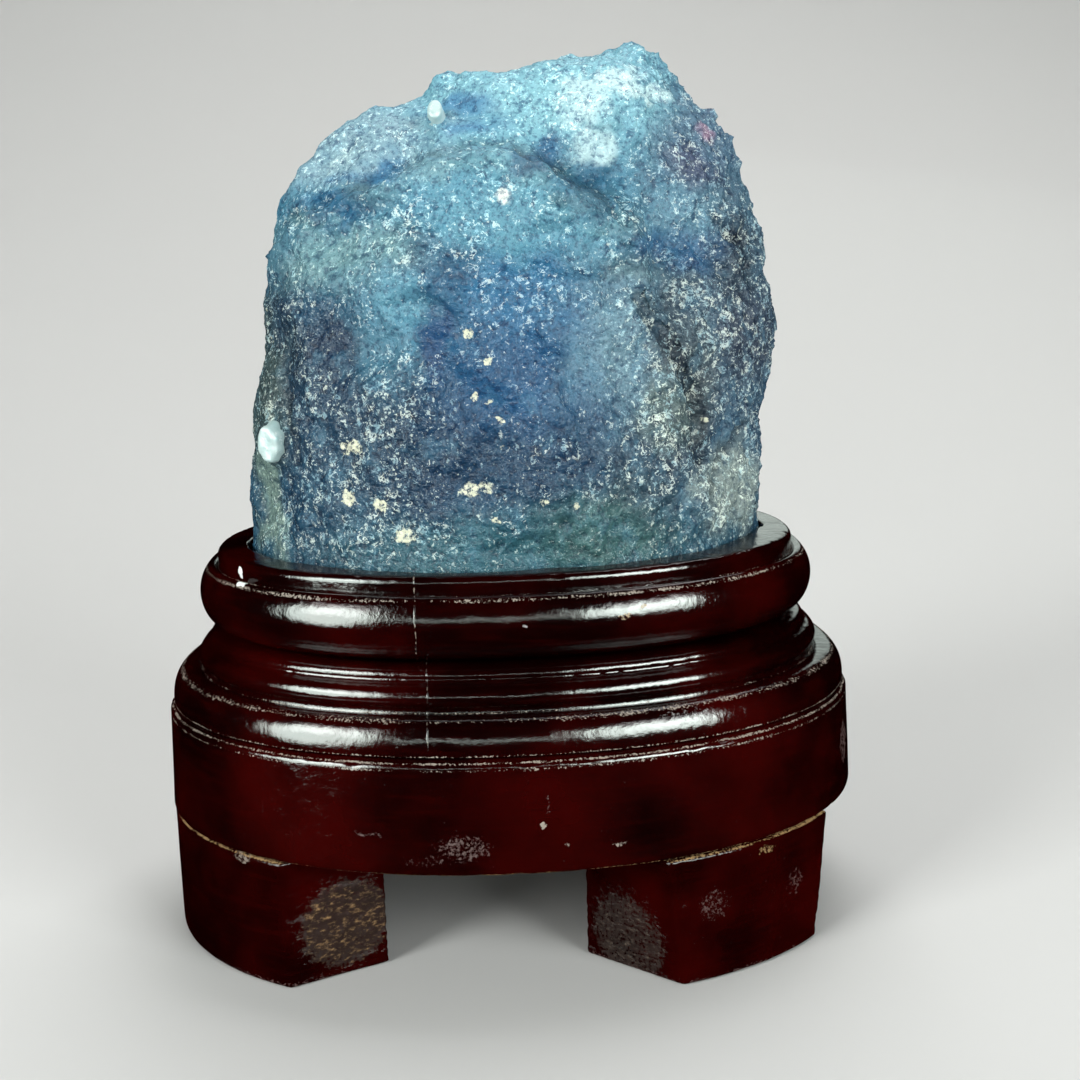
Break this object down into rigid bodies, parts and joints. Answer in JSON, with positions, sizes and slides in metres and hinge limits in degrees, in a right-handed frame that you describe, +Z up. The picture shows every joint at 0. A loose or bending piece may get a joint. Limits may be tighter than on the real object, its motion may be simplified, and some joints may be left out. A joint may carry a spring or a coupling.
{
  "type": "aquamarine crystal on stand",
  "caption": "Rough cloudy-blue crystal lump standing upright in the carved seat of a dark lacquered oval wood stand with rounded tiers and block feet.",
  "frame": {"origin": "on the surface it stands on, under the middle of the stand's oval", "axes": "+Z up; +X along the stand's length, to the right seen from the front; -Y is the front"},
  "size_m": [0.13, 0.0974, 0.1593],
  "materials": {
    "crystal": "etched, sparkling, cloudy and half see-through",
    "lacquered_wood": "glossy red-black lacquer, worn at the edges"
  },
  "bodies": {
    "root": {"crystal": "crystal", "tray": "lacquered_wood", "moulding": "lacquered_wood", "band": "lacquered_wood", "foot_front_left": "lacquered_wood", "foot_front_right": "lacquered_wood", "foot_back_left": "lacquered_wood", "foot_back_right": "lacquered_wood"}
  },
  "joints": []
}
